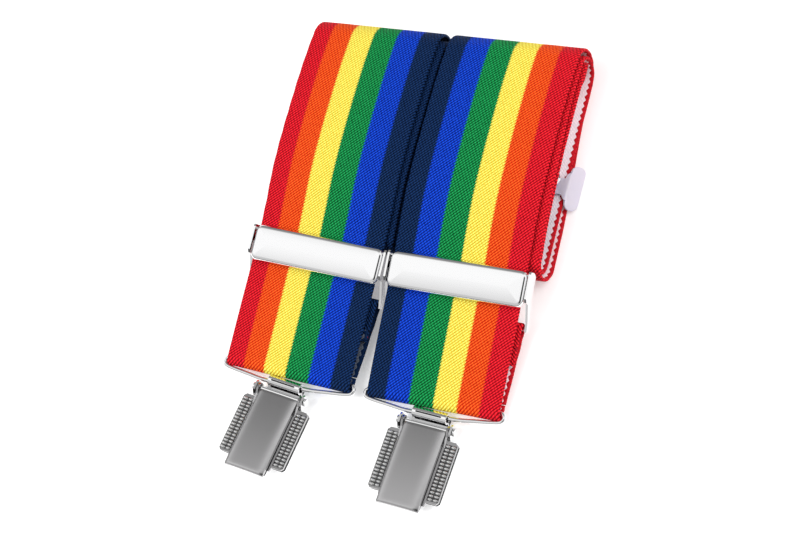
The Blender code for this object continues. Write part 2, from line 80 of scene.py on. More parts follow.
# Stripes from the inner edge out: share of the width where each starts, colour of its threads and colour
# down between them, which is painted shade in the weave's hollows, as display values
STRIPES = (
    (0.000, (24, 52, 98), (0, 2, 12)),
    (0.144, (26, 78, 222), (0, 4, 78)),
    (0.324, (32, 162, 86), (0, 34, 12)),
    (0.510, (255, 249, 112), (200, 158, 24)),
    (0.684, (255, 100, 38), (168, 14, 0)),
    (0.854, (248, 38, 52), (106, 0, 8)),
)
NAVY_END = STRIPES[1][0]


# ---------------------------------------------------------------- materials


def display(colour):
    """Linear light of a colour given as display values."""
    return tuple(c / 255 / 12.92 if c < 11 else ((c / 255 + 0.055) / 1.055) ** 2.4 for c in colour)


class Graph:
    """A material's node tree, built with short calls that return output sockets."""

    def __init__(self, name):
        self.material = bpy.data.materials.new(name)
        self.material.use_nodes = True
        self.tree = self.material.node_tree
        self.shader = self.tree.nodes["Principled BSDF"]

    def node(self, kind, **inputs):
        """Add a node. Inputs are socket names with underscores for spaces."""
        made = self.tree.nodes.new(kind)
        for name, value in inputs.items():
            self.feed(made.inputs[name.replace("_", " ")], value)
        return made

    def feed(self, socket, value):
        """Link a socket to another one, or set its value."""
        if isinstance(value, bpy.types.NodeSocket):
            self.tree.links.new(value, socket)
        else:
            socket.default_value = value

    def attribute(self, name):
        """A number stored on the mesh's points."""
        made = self.node("ShaderNodeAttribute")
        made.attribute_name = name
        return made.outputs["Fac"]

    def position(self):
        """Place on the object, in its own coordinates."""
        return self.node("ShaderNodeTexCoord").outputs["Object"]

    def math(self, operation, *values, clamp=False):
        """Result of an arithmetic operation."""
        made = self.node("ShaderNodeMath")
        made.operation = operation
        made.use_clamp = clamp
        for socket, value in zip(made.inputs, values):
            self.feed(socket, value)
        return made.outputs[0]

    def wave(self, turns):
        """Smooth wave from 0 to 1, at 1 on every whole turn."""
        cosine = self.math("COSINE", self.math("MULTIPLY", turns, math.tau))
        return self.math("MULTIPLY_ADD", cosine, 0.5, 0.5)

    def mix(self, factor, one, two, blend="MIX"):
        """Colour between two others."""
        made = self.node("ShaderNodeMix")
        made.data_type = "RGBA"
        made.blend_type = blend
        for socket, value in zip((made.inputs[0], made.inputs[6], made.inputs[7]), (factor, one, two)):
            self.feed(socket, value)
        return made.outputs[2]

    def bands(self, factor, stops):
        """Flat bands of colour, each given as where it starts and its colour."""
        made = self.node("ShaderNodeValToRGB", Fac=factor)
        made.color_ramp.interpolation = "CONSTANT"
        elements = made.color_ramp.elements
        while len(elements) < len(stops):
            elements.new(1.0)
        for element, (start, colour) in zip(elements, stops):
            element.position = start
            element.color = (*colour, 1.0)
        return made.outputs["Color"]

    def noise(self, scale, detail=2.0):
        """Soft random value from 0 to 1."""
        made = self.node("ShaderNodeTexNoise", Scale=scale, Detail=detail, Vector=self.position())
        return made.outputs["Fac"]

    def bump(self, height, distance_m, strength=1.0):
        """Let a height tilt the surface."""
        made = self.node("ShaderNodeBump", Height=height, Distance=distance_m, Strength=strength)
        self.set(Normal=made.outputs["Normal"])

    def set(self, **inputs):
        """Feed the shader itself."""
        for name, value in inputs.items():
            self.feed(self.shader.inputs[name.replace("_", " ")], value)
        return self


# Share of a rib's height that the notches take, and how far the ribs make a stripe's edge jump
NOTCH_DEPTH = 0.66
EDGE_JUMP = 0.7
# Row of stitches across the tail: distance from its end, half width, pitch, and a stitch's share of that
STITCH_IN, STITCH_HALF, STITCH_PITCH, STITCH_SHARE = 6.0, 0.35, 3.0, 0.72
# Coloured threads that turn over the selvedge: least reach on the reverse, and the zigzag's addition
RIM_LEAST, RIM_ZIGZAG = 0.8, 1.6


def webbing_material():
    """Striped twill on the face, white on the reverse with the outer threads along its selvedges. Painted
    shade darkens the weave's hollows on both sides.
    """
    g = Graph("woven webbing")
    across, along, face = g.attribute("toward_outer"), g.attribute("along"), g.attribute("face")
    handed, from_end = g.attribute("handed"), g.attribute("from_end")

    # Three-row twill: fine ribs rising to the right, notched by steeper ones rising to the left
    columns = g.math("DIVIDE", g.math("MULTIPLY", across, handed), TWILL_ACROSS)
    rows = g.math("DIVIDE", along, TWILL_REPEAT)
    rib = g.math("SUBTRACT", g.math("MULTIPLY", rows, 2.0), columns)
    rib_height = g.math("POWER", g.wave(rib), 0.8)
    notch = g.wave(g.math("ADD", rows, columns))
    notch_height = g.math("MULTIPLY_ADD", notch, NOTCH_DEPTH, 1 - NOTCH_DEPTH)
    height = g.math("MULTIPLY", rib_height, notch_height)

    # The stripe of each thread, with the saw-toothed boundary that the ribs give
    step = g.math("MULTIPLY", g.math("SUBTRACT", g.math("FRACT", rib), 0.5), handed)
    share = g.math("ADD", across, g.math("MULTIPLY", step, -EDGE_JUMP))
    share = g.math("ADD", g.math("DIVIDE", share, WEB_WIDTH), 0.5)
    stripe = g.bands(share, [(start, display(thread)) for start, thread, _ in STRIPES])
    # The colour down between the threads is painted shade in the weave's hollows
    between = g.bands(share, [(start, display(gap)) for start, _, gap in STRIPES])
    uneven = g.math("MULTIPLY_ADD", g.noise(900.0), 0.4, -0.2)
    level = g.math("ADD", g.math("MULTIPLY", height, 1.45), uneven, clamp=True)
    front = g.mix(level, between, stripe)

    # A row of dark red stitches across the tail
    from_row = g.math("ABSOLUTE", g.math("SUBTRACT", from_end, STITCH_IN))
    at_row = g.math("LESS_THAN", from_row, STITCH_HALF)
    in_row = g.math("LESS_THAN", g.math("FRACT", g.math("DIVIDE", across, STITCH_PITCH)), STITCH_SHARE)
    front = g.mix(g.math("MULTIPLY", at_row, in_row), front, (0.30, 0.01, 0.02, 1))

    # Reverse: white ground, dark grey behind the navy stripe as painted shade with a tint of the navy
    # showing through, coloured threads in a zigzag on each selvedge
    zigzag = g.math("ABSOLUTE", g.math("SUBTRACT", g.math("FRACT", rows), 0.5))
    rim = g.math("SUBTRACT", WEB_WIDTH / 2, g.math("ABSOLUTE", across))
    on_rim = g.math("LESS_THAN", rim, g.math("MULTIPLY_ADD", zigzag, RIM_ZIGZAG, RIM_LEAST))
    # Both grounds are darker down between the threads: painted shade
    white = g.mix(height, (0.90, 0.76, 0.81, 1), (0.96, 0.88, 0.91, 1))
    # Painted shade on the reverse behind the navy stripe, tinted blue by the navy threads
    grey = g.mix(height, (0.09, 0.10, 0.13, 1), (0.17, 0.20, 0.25, 1))
    ground = g.mix(g.math("LESS_THAN", share, NAVY_END), white, grey)
    # The selvedge's threads are halved in brightness as painted shade on the turned edge
    reverse = g.mix(on_rim, ground, g.mix(1.0, stripe, (0.5, 0.5, 0.5, 1), "MULTIPLY"))

    # The face's threads also cover most of the rounded selvedge
    turned = g.math("ADD", face, g.math("MULTIPLY_ADD", zigzag, 2.2, -0.3))
    is_front = g.math("GREATER_THAN", turned, 0.0)
    g.set(Base_Color=g.mix(is_front, reverse, front), Roughness=0.72, Specular_IOR_Level=0.07)
    relief = g.math("MULTIPLY_ADD", is_front, 0.75, 0.25)
    g.bump(g.math("MULTIPLY", height, relief), 0.00035)
    return g.material


def metal_material(name, colour, roughness, wave_m, wave_scale):
    """Plated metal with slight uneven gloss and gentle waves."""
    g = Graph(name)
    marks = g.math("MULTIPLY_ADD", g.noise(900.0, 3.0), 0.08, roughness - 0.04)
    g.set(Base_Color=(*colour, 1), Metallic=1.0, Roughness=marks)
    g.bump(g.noise(wave_scale, 1.0), wave_m)
    return g.material


def knurl_material():
    """Nickel with painted shade in the valleys between the bumps."""
    g = Graph("knurled nickel")
    rise = g.math("POWER", g.attribute("rise"), 0.6)
    # Painted shade: near black down in the valleys, bright nickel on the bump tops
    valley_shade_tone = g.mix(rise, (0.10, 0.10, 0.10, 1), (0.97, 0.97, 0.97, 1))
    g.set(Base_Color=valley_shade_tone, Metallic=1.0, Roughness=0.22)
    return g.material


def plastic_material():
    """Milky plastic that lets some light through."""
    g = Graph("milky plastic")
    g.set(Base_Color=(0.80, 0.76, 0.86, 1), Roughness=0.32, Transmission_Weight=0.35, IOR=1.45)
    g.set(Subsurface_Weight=0.4, Subsurface_Radius=(0.004, 0.004, 0.005))
    g.bump(g.noise(300.0), 0.00005)
    return g.material


def leather_material():
    """Black leather with a fine pebbled grain."""
    g = Graph("black leather")
    cells = g.node("ShaderNodeTexVoronoi", Scale=1400.0, Vector=g.position()).outputs["Distance"]
    g.set(Base_Color=(0.018, 0.017, 0.018, 1), Roughness=0.5)
    g.bump(cells, 0.0001, 0.5)
    return g.material


# ---------------------------------------------------------------- frames taken from the joints

# From the lever's pin to the clip's eye: up the clip, and out of its plane
PIN_TO_EYE = (4.05, 0.6)
# The cover's hinge from the webbing under the middle of the cover: up the strap, and out of it
COVER_HINGE = (5.0, 2.5)


def frame_at(x_axis, y_axis, origin_m):
    """Frame with its origin in metres and axes x, y and x cross y."""
    x = Vector(x_axis).normalized()
    y = (Vector(y_axis) - x * x.dot(Vector(y_axis))).normalized()
    turn = Matrix((x, y, x.cross(y))).transposed()
    return Matrix.Translation(Vector(origin_m)) @ turn.to_4x4()


def clip_frames(side):
    """Frames of the wire loop's long bar, of the clip's eye and of the lever's pin."""
    loop, lever = JOINTS[f"{side}_loop_hinge"], JOINTS[f"{side}_lever_hinge"]
    eye_m, pin_m = Vector(JOINTS[f"{side}_clip_hinge"]["pos_m"]), Vector(lever["pos_m"])
    bar = frame_at(-Vector(loop["axis"]), Vector(loop["pos_m"]) - eye_m, loop["pos_m"])
    clip_x = -Vector(lever["axis"])
    up_clip, out_of_clip = PIN_TO_EYE
    clip_y = Matrix.Rotation(math.atan2(out_of_clip, up_clip), 3, clip_x) @ (eye_m - pin_m)
    return bar, frame_at(clip_x, clip_y, eye_m), frame_at(clip_x, clip_y, pin_m)


def cover_frame(side):
    """Frame of the webbing run at the adjuster, with its origin in the webbing."""
    hinge, slide = JOINTS[f"{side}_cover_hinge"], JOINTS[f"{side}_adjuster_slide"]
    pivot = frame_at(-Vector(hinge["axis"]), -Vector(slide["axis"]), hinge["pos_m"])
    return pivot @ Matrix.Translation(-Vector((0, *COVER_HINGE)) * MM)


# ---------------------------------------------------------------- webbing

# Two mid-points closer than this are not the two faces of one section
FACES_APART = 0.5
PATH_STEP = 1.2
FACE_COLUMNS = 40
SELVEDGE_STEPS = 6
# The selvedge waves in and out, beyond this distance from the middle
SELVEDGE_FROM, SELVEDGE_WAVE, SELVEDGE_SHIFT = 24.0, 0.16, 0.9
# Slight unevenness of the faces: its height, and its size across and along the webbing
UNEVEN, UNEVEN_ACROSS, UNEVEN_ALONG = 0.09, 11, 16


def merged_points(mesh):
    """The mesh's distinct points, and which of them each vertex is."""
    points, index, of_vertex = [], {}, []
    for vertex in mesh.vertices:
        key = tuple(round(c * 1e7) for c in vertex.co)
        if key not in index:
            index[key] = len(points)
            points.append(np.array(vertex.co, float) / MM)
        of_vertex.append(index[key])
    return np.array(points), of_vertex


def distances(points):
    """Table of the distances between all points."""
    return np.linalg.norm(points[:, None] - points[None], axis=2)


def corner_sections(mesh):
    """Centre and vector across of each section with corners, and the section of each vertex."""
    points, of_vertex = merged_points(mesh)
    mates = np.argmin(abs(distances(points) - WEB_WIDTH), axis=1)
    pairs = sorted({tuple(sorted((i, int(mate)))) for i, mate in enumerate(mates)})
    middles = np.array([(points[a] + points[b]) / 2 for a, b in pairs])
    apart = distances(middles)
    too_close = 1000 * (apart < FACES_APART)
    sections, section_of, done = [], {}, set()
    for i in range(len(pairs)):
        if i in done:
            continue
        j = int(np.argmin(abs(apart[i] - WEB_THICK) + too_close[i]))
        done |= {i, j}
        for k in (*pairs[i], *pairs[j]):
            section_of[k] = len(sections)
        a, b = sorted(pairs[i], key=lambda k: points[k][0])
        sections.append(((middles[i] + middles[j]) / 2, points[b] - points[a]))
    return sections, [section_of[k] for k in of_vertex]


def webbing_sections(node):
    """The webbing's sections in order from its lower front end."""
    mesh = NODES[node].data
    sections, of_vertex = corner_sections(mesh)
    links = {i: set() for i in range(len(sections))}
    for edge in mesh.edges:
        a, b = (of_vertex[k] for k in edge.vertices)
        if a != b:
            links[a].add(b)
            links[b].add(a)
    ends = [i for i in links if len(links[i]) == 1]
    walk = [min(ends, key=lambda i: sections[i][0][1])]
    while len(walk) < len(sections):
        walk.append(next(i for i in links[walk[-1]] if i not in walk))
    return [sections[i] for i in walk]


def smooth_path(sections):
    """Points along a smooth curve through the sections: place, unit vector across, length run so far."""
    centres = np.array([centre for centre, _ in sections])
    across = np.array([vector / np.linalg.norm(vector) for _, vector in sections])
    spans = np.linalg.norm(np.diff(centres, axis=0), axis=1)
    slopes = np.diff(centres, axis=0) / spans[:, None]
    before, after = spans[:-1, None], spans[1:, None]
    inner = (slopes[:-1] * before + slopes[1:] * after) / (before + after)
    tangents = np.vstack([slopes[:1], inner, slopes[-1:]])
    path, run = [], 0.0
    for i, span in enumerate(spans):
        pieces = max(1, int(math.ceil(span / PATH_STEP)))
        is_last = i == len(spans) - 1
        for k in range(pieces + is_last):
            t = k / pieces
            point = (
                (2 * t**3 - 3 * t**2 + 1) * centres[i]
                + (t**3 - 2 * t**2 + t) * span * tangents[i]
                + (3 * t**2 - 2 * t**3) * centres[i + 1]
                + (t**3 - t**2) * span * tangents[i + 1]
            )
            side = (1 - t) * across[i] + t * across[i + 1]
            path.append((point, side / np.linalg.norm(side), run + span * t))
        run += span
    return path


def section_outline():
    """(u, n, face) round the webbing's section: across, out, and from 1 on the face to -1 on the reverse."""
    reach = WEB_WIDTH / 2 - VISUAL_HALF
    us = [-reach + 2 * reach * i / FACE_COLUMNS for i in range(FACE_COLUMNS + 1)]
    outline = []
    for sign in (1, -1):
        outline += [(u, sign * VISUAL_HALF, float(sign)) for u in us[::sign]]
        for i in range(1, SELVEDGE_STEPS):
            a = sign * math.pi / 2 - math.pi * i / SELVEDGE_STEPS
            x, z = math.cos(a), math.sin(a)
            outline.append((sign * reach + VISUAL_HALF * x, VISUAL_HALF * z, z))
    return outline


def fuller_turn(point, bar):
    """The point, moved out if it lies in the turn round the wire loop's bar."""
    local = bar.inverted() @ (Vector(point) * MM)
    if local.y < 0:
        local.y *= TURN_FULLNESS
    return np.array(bar @ local) / MM


def webbing(node, side, is_tail, made_of):
    """The webbing of a CAD node, finely divided, with its weave coordinates as attributes."""
    sign = SIDES[side]
    outline = section_outline()
    path = smooth_path(webbing_sections(node))
    bar, _, _ = clip_frames(side)
    centres = np.array([fuller_turn(point, bar) for point, _, _ in path])
    length = path[-1][2]
    verts = []
    fields = {name: [] for name in ("toward_outer", "along", "face", "handed", "from_end")}
    for point, (_, across, run), ahead in zip(centres, path, np.gradient(centres, axis=0)):
        normal = np.cross(across, ahead)
        normal /= np.linalg.norm(normal)
        for u, n, f in outline:
            turns = (run + (SELVEDGE_SHIFT if u > 0 else 0)) / TWILL_REPEAT
            wave = SELVEDGE_WAVE * max(0.0, abs(u) - SELVEDGE_FROM) * math.cos(2 * math.pi * turns)
            lift = UNEVEN * noise.noise(Vector((u / UNEVEN_ACROSS, run / UNEVEN_ALONG, 3.0 * sign)))
            verts.append((point + across * (u + math.copysign(wave, u)) + normal * (n + lift)) * MM)
            fields["toward_outer"].append(sign * u)
            fields["along"].append(run)
            fields["face"].append(-f if is_tail else f)
            fields["handed"].append(float(sign))
            fields["from_end"].append(length - run if is_tail else -length)
    made = mesh_object(f"{node}_webbing", verts, loft_faces(len(path), len(outline)), made_of)
    for name, values in fields.items():
        made.data.attributes.new(name, "FLOAT", "POINT").data.foreach_set("value", values)
    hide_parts(node)
    return made


# ---------------------------------------------------------------- solids


def mesh_object(name, verts, faces, made_of, smooth=True):
    """New object from points in metres and faces, in one material."""
    data = bpy.data.meshes.new(name)
    data.from_pydata([tuple(v) for v in verts], [], faces)
    mesh = bmesh.new()
    mesh.from_mesh(data)
    bmesh.ops.recalc_face_normals(mesh, faces=mesh.faces)
    mesh.to_mesh(data)
    mesh.free()
    data.materials.append(made_of)
    if smooth:
        data.shade_smooth()
        data.set_sharp_from_angle(angle=math.radians(40))
    made = bpy.data.objects.new(name, data)
    bpy.context.scene.collection.objects.link(made)
    return made


def loft_faces(rings, count, closed=False):
    """Faces between rings of count points each. The ends are capped, or joined if it is closed."""
    faces = []
    for r in range(rings if closed else rings - 1):
        one, two = r * count, (r + 1) % rings * count
        for k in range(count):
            m = (k + 1) % count
            faces.append((one + k, one + m, two + m, two + k))
    if not closed:
        faces.append(tuple(range(count)))
        faces.append(tuple((rings - 1) * count + k for k in range(count)))
    return faces


def spline(points, pieces, closed):
    """Points of a smooth curve through the given ones."""
    out = []
    count = len(points)
    for i in range(count if closed else count - 1):
        near = [(i + k) % count if closed else min(max(i + k, 0), count - 1) for k in (-1, 0, 1, 2)]
        a, b, c, d = (np.array(points[k], float) for k in near)
        for j in range(pieces):
            t = j / pieces
            square = (2 * a - 5 * b + 4 * c - d) * t**2
            cube = (3 * b - a - 3 * c + d) * t**3
            out.append(0.5 * (2 * b + (c - a) * t + square + cube))
    if not closed:
        out.append(np.array(points[-1], float))
    return out


def tube(name, path, radius, place, made_of, closed=False, sides=16):
    """A wire along points that lie in the frame's XY plane or near it."""
    verts = []
    count = len(path)
    for i, point in enumerate(path):
        before = path[i - 1] if closed or i else path[i]
        after = path[(i + 1) % count] if closed or i < count - 1 else path[i]
        ahead = Vector(after - before).normalized()
        out = ahead.cross(Vector((0, 0, 1))).normalized()
        up = out.cross(ahead)
        for k in range(sides):
            a = 2 * math.pi * k / sides
            spoke = radius * (out * math.cos(a) + up * math.sin(a))
            verts.append(place @ ((Vector(point) + spoke) * MM))
    return mesh_object(name, verts, loft_faces(count, sides, closed), made_of)


WIRE_RADIUS = 0.8
# Half of the wire loop's centre line, from the middle of its long bar to the middle of its short one
WIRE_HALF = (
    (0, 0), (14, 0), (22.5, 0), (25.2, -0.35), (26.3, -1.7), (25.4, -3.3),
    (22, -4.05), (16, -4.7), (11.4, -5.25), (8.4, -5.4), (4, -5.4), (0, -5.4),
)


def wire_loop(side, bar, made_of):
    """The wire that the webbing turns round and the clip hangs from."""
    points = [(x, y, 0.0) for x, y in WIRE_HALF] + [(-x, y, 0.0) for x, y in WIRE_HALF[-2:0:-1]]
    made = tube(f"{side}_wire", spline(points, 8, True), WIRE_RADIUS, bar, made_of, closed=True)
    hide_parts(f"{side}_front_wire_loop")
    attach(made, f"{side}_loop")


def rounded_rectangle(a, b, radius, per_corner=10):
    """Points round a rectangle of half sizes a and b."""
    points = []
    for i_corner, (sx, sy) in enumerate(((1, 1), (-1, 1), (-1, -1), (1, -1))):
        for i in range(per_corner + 1):
            angle = math.radians(90 * i_corner + 90 * i / per_corner)
            x = sx * (a - radius) + radius * math.cos(angle)
            points.append((x, sy * (b - radius) + radius * math.sin(angle)))
    return points


# Half width, half height and corner radius of the adjuster's cover
COVER_SIZE = (25.8, 6.5, 2.6)
# Its section as (inset, height): the hollow from the middle out, the rim's foot, and the top
COVER_HOLLOW = ((6.1, 2.85), (3.2, 2.8), (1.6, 2.6), (0.85, 2.0), (0.75, 1.3), (0.75, 1.15))
COVER_FOOT = ((0.05, 1.15), (0.0, 1.5), (0.0, 2.0))
COVER_TOP = ((3.2, 3.5), (6.1, 3.58))
# The rounded shoulder between side and top: steps, width and height
SHOULDER_STEPS, SHOULDER_WIDE, SHOULDER_HIGH = 8, 1.5, 1.35


def adjuster_cover(side, made_of):
    """Hinged cover: a cushion-shaped plate, hollow underneath."""
    place = cover_frame(side)
    _, start = COVER_FOOT[-1]
    shoulder = []
    for i in range(1, SHOULDER_STEPS + 1):
        t = math.pi / 2 * i / SHOULDER_STEPS
        shoulder.append((SHOULDER_WIDE * (1 - math.cos(t)), start + SHOULDER_HIGH * math.sin(t)))
    profile = (*COVER_HOLLOW, *COVER_FOOT, *shoulder, *COVER_TOP)
    a, b, radius = COVER_SIZE
    rings = [rounded_rectangle(a - inset, b - inset, max(radius - inset, 0.05)) for inset, _ in profile]
    verts = [place @ (Vector((x, y, z)) * MM) for ring, (_, z) in zip(rings, profile) for x, y in ring]
    made = mesh_object(f"{side}_cover", verts, loft_faces(len(rings), len(rings[0])), made_of)
    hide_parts(f"{side}_adjuster_cover")
    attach(made, f"{side}_cover")


EYE_RADIUS = 2.0
SEAM_ANGLE = math.radians(100)
# Outline of the seam, along the eye and round it
SEAM = (
    (-5.2, -0.12), (-4.9, -0.28), (4.4, -0.28), (4.7, -0.12),
    (4.7, 0.12), (4.4, 0.28), (-4.9, 0.28), (-5.2, 0.12),
)


def eye_seam(side, eye, made_of):
    """Black strip of painted shade in the slot where the back jaw's plate meets itself after rolling round
    the wire.
    """
    out = Vector((0, math.cos(SEAM_ANGLE), math.sin(SEAM_ANGLE))) * EYE_RADIUS
    tall = Vector((0, -math.sin(SEAM_ANGLE), math.cos(SEAM_ANGLE)))
    verts = []
    for lift in (0.99, 1.015):
        verts += [eye @ ((Vector((x, 0, 0)) + out * lift + tall * w) * MM) for x, w in SEAM]
    made = mesh_object(f"{side}_eye_seam", verts, loft_faces(2, len(SEAM)), made_of, smooth=False)
    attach(made, f"{side}_clip")


LEVER_HALF, LEVER_TOP, LEVER_END, LEVER_SHEET = 8.0, -0.6, -30.2, 0.7
# The crown's height at the middle, its drop at the sides, and the height where the turned sides end
LEVER_CROWN, LEVER_DROP, LEVER_SIDE = 2.0, 0.95, -0.1
LEVER_COLUMNS, LEVER_ROWS, LEVER_ROW = 24, 29, 0.98
# Along the lever the plate rises, and sags toward both ends
LEVER_RISE, LEVER_BOW, LEVER_LOW = 0.25, 0.35, 0.3
BARREL_HALF, BARREL_RADIUS = 8.0, 1.8


def lever_plate(side, pin, made_of):
    """Folded lever: a crowned plate with turned-down sides and lip, and its barrel round the pin."""
    turns = [math.sin(math.pi / 2 * (2 * i / LEVER_COLUMNS - 1)) for i in range(LEVER_COLUMNS + 1)]
    crown = [(LEVER_HALF * s, LEVER_CROWN - LEVER_DROP * abs(s) ** 5) for s in turns]
    narrow = (LEVER_HALF - LEVER_SHEET) / LEVER_HALF
    section = [(-LEVER_HALF, LEVER_SIDE), *crown, (LEVER_HALF, LEVER_SIDE)]
    section += [(LEVER_HALF * narrow, LEVER_SIDE)]
    section += [(x * narrow, z - LEVER_SHEET) for x, z in reversed(crown)]
    section += [(-LEVER_HALF * narrow, LEVER_SIDE)]
    rows = [(LEVER_TOP, -0.1), (LEVER_TOP - 0.25, 0.0)]
    rows += [(LEVER_TOP - 1 - LEVER_ROW * k, 0.0) for k in range(LEVER_ROWS)]
    rows += [(LEVER_END + 0.35, -0.05), (LEVER_END + 0.1, -0.25), (LEVER_END, -0.6)]
    verts = []
    for y, sag in rows:
        t = (y - LEVER_TOP) / (LEVER_END - LEVER_TOP)
        low = LEVER_RISE * t
        high = low + LEVER_BOW * (1 - (2 * t - 1) ** 2) - LEVER_LOW + sag
        verts += [pin @ (Vector((x, y, z + (high if z > 0 else low))) * MM) for x, z in section]
    plate = mesh_object(f"{side}_lever_plate", verts, loft_faces(len(rows), len(section)), made_of)
    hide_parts(f"{side}_front_clip_lever")
    along = pin @ Matrix.Rotation(math.radians(90), 4, "Y")
    ends = [np.array((0, 0, z)) for z in (-BARREL_HALF, BARREL_HALF)]
    barrel = tube(f"{side}_lever_barrel", ends, BARREL_RADIUS, along, made_of)
    for piece in (plate, barrel):
        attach(piece, f"{side}_lever")


# The plastic clip's bent strip from inside the webbing to outside, as (x, z) from its outer edge
CLIP_SPINE = ((-16.3, 3.85), (-10.5, 3.85), (-5.2, 3.85), (-4.5, 3.45), (-3.9, 2.75), (-0.4, 0.5))
CLIP_HALF, CLIP_EDGE, CLIP_EDGE_HALF = 0.38, 0.2, 0.18


def packing_clip(made_of):
    """Milky clip: a bent strip with rounded legs inside and outside the webbing's edges."""
    low, high = (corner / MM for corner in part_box("packing_clip"))
    spine = spline([(x, 0.0, z) for x, z in CLIP_SPINE], 14, False)
    runs = [0.0] + list(np.cumsum([np.linalg.norm(b - a) for a, b in zip(spine, spine[1:])]))
    full = runs[-1]
    # Each stretch of the strip: where it starts and ends, half width, corner radius, and shift sideways
    stretches = (
        (0.0, 5.8, 9.5, 1.6, 0.0),
        (4.0, full - 2.0, 3.1, 0.1, 0.4),
        (full - 6.6, full, 5.2, 1.6, 0.6),
        (full - 5.2, full, 8.25, 2.4, 0.75),
    )
    verts = []
    for i, (point, run) in enumerate(zip(spine, runs)):
        ahead = Vector(spine[min(i + 1, len(spine) - 1)] - spine[max(i - 1, 0)]).normalized()
        up = Vector((-ahead.z, 0, ahead.x))
        y0 = y1 = 0.0
        for first, last, half, corner, shift in stretches:
            if first <= run <= last:
                inset = max(0.0, corner - (run - first), corner - (last - run))
                reach = half - corner + math.sqrt(max(0.0, corner**2 - inset**2))
                y0, y1 = min(y0, shift - reach), max(y1, shift + reach)
        outline = [(y0 + CLIP_EDGE, CLIP_HALF), (y1 - CLIP_EDGE, CLIP_HALF)]
        outline += [(y1, CLIP_EDGE_HALF), (y1, -CLIP_EDGE_HALF)]
        outline += [(y1 - CLIP_EDGE, -CLIP_HALF), (y0 + CLIP_EDGE, -CLIP_HALF)]
        outline += [(y0, -CLIP_EDGE_HALF), (y0, CLIP_EDGE_HALF)]
        base = Vector((high.x + point[0], (low.y + high.y) / 2, point[2]))
        verts += [(base + Vector((0, y, 0)) + up * n) * MM for y, n in outline]
    made = mesh_object("packing_clip_moulding", verts, loft_faces(len(spine), len(outline)), made_of)
    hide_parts("packing_clip")
    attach(made, "packing_clip")


BUMP_WIDE, BUMP_LONG, BUMP_HIGH = 2.15, 1.28, 0.62
BUMP_COLUMNS, BUMP_ROWS = 2, 16
# Grid cells over one bump, across and along
CELLS_ACROSS, CELLS_ALONG = 8, 7
# The front jaw's wings in the eye's frame: near edge, top edge, and surface
WING_X, WING_TOP, WING_Z = 8.95, -8.6, 0.2


def knurling(side, eye, made_of):
    """Two columns of raised bumps along each wing of the front jaw."""
    nu, nv = BUMP_COLUMNS * CELLS_ACROSS, BUMP_ROWS * CELLS_ALONG
    width, layer = nu + 1, (nu + 1) * (nv + 1)
    faces = []
    for j in range(nv):
        for i in range(nu):
            a = j * width + i
            faces.append((a, a + 1, a + 1 + width, a + width))
            faces.append((a + layer, a + width + layer, a + 1 + width + layer, a + 1 + layer))
    rim = list(range(nu)) + [nu + j * width for j in range(nv)]
    rim += [nv * width + nu - i for i in range(nu)] + [(nv - j) * width for j in range(nv)]
    faces += [(a, b, b + layer, a + layer) for a, b in zip(rim, rim[1:] + rim[:1])]
    for label, x0 in (("outer", WING_X), ("inner", -WING_X - BUMP_COLUMNS * BUMP_WIDE)):
        verts, rise = [], []
        for is_top in (True, False):
            for j in range(nv + 1):
                for i in range(nu + 1):
                    u, v = i / CELLS_ACROSS, j / CELLS_ALONG
                    over, down = (u % 1.0 - 0.5) / 0.48, (v % 1.0 - 0.5) / 0.46
                    on_bump = i % CELLS_ACROSS and j % CELLS_ALONG
                    dome = max(0.0, 1 - over * over - down * down) if on_bump else 0.0
                    rise.append(dome)
                    z = WING_Z + 0.02 + (BUMP_HIGH * dome**0.6 if is_top else -0.25)
                    verts.append(eye @ (Vector((x0 + u * BUMP_WIDE, WING_TOP - v * BUMP_LONG, z)) * MM))
        made = mesh_object(f"{side}_knurl_{label}", verts, faces, made_of)
        made.data.attributes.new("rise", "FLOAT", "POINT").data.foreach_set("value", rise)
        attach(made, f"{side}_jaw")


# ---------------------------------------------------------------- the scene

# How much each of a strap's CAD nodes has its edges rounded
ROUNDED = {
    "front_clip_back_jaw": 0.18,
    "front_clip_front_jaw": 0.15,
    "front_clip_hinge_pin": 0.2,
    "adjuster_frame": 0.2,
}


def soften(node, width):
    """Round a CAD node's edges with a bevel."""
    bevel = NODES[node].modifiers.new("Rounded edges", "BEVEL")
    bevel.width = width * MM
    bevel.segments = 3
    bevel.limit_method = "ANGLE"
    bevel.angle_limit = math.radians(32)
    bevel.harden_normals = False
    NODES[node].data.shade_smooth()


def paint(node, made_of):
    """Give a CAD node one material."""
    NODES[node].data.materials.clear()
    NODES[node].data.materials.append(made_of)


def paint_nodes(satin, bright, leather):
    """Materials of the CAD nodes, including those that a finer piece replaces."""
    for node in NODES:
        if "lever" in node or "front_jaw" in node:
            paint(node, satin)
        elif "strap" not in node:
            paint(node, bright)
    for node in ("back_patch_outer", "back_patch_inner"):
        paint(node, leather)


def strap_webbing(side, made_of):
    """Both runs of a strap. The tail reaches up to the adjuster."""
    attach(webbing(f"{side}_strap", side, False, made_of), "webbing_bundle")
    back = webbing(f"{side}_strap_return", side, True, made_of)
    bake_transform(back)


def build_object():
    """All visible pieces."""
    web = webbing_material()
    bright = metal_material("polished nickel", (0.92, 0.92, 0.925), 0.08, 0.00002, 60.0)
    satin = metal_material("pressed nickel", (0.51, 0.505, 0.51), 0.24, 0.00004, 45.0)
    bumpy, plastic, leather = knurl_material(), plastic_material(), leather_material()
    # Near-black material that paints the shade in the clip eye's seam
    slot = Graph("painted slot shade").set(Base_Color=(0.01, 0.01, 0.01, 1), Roughness=0.5).material
    paint_nodes(satin, bright, leather)
    for side in SIDES:
        strap_webbing(side, web)
        bar, eye, pin = clip_frames(side)
        wire_loop(side, bar, bright)
        adjuster_cover(side, bright)
        knurling(side, eye, bumpy)
        lever_plate(side, pin, satin)
        eye_seam(side, eye, slot)
        for node, width in ROUNDED.items():
            soften(f"{side}_{node}", width)
    packing_clip(plastic)


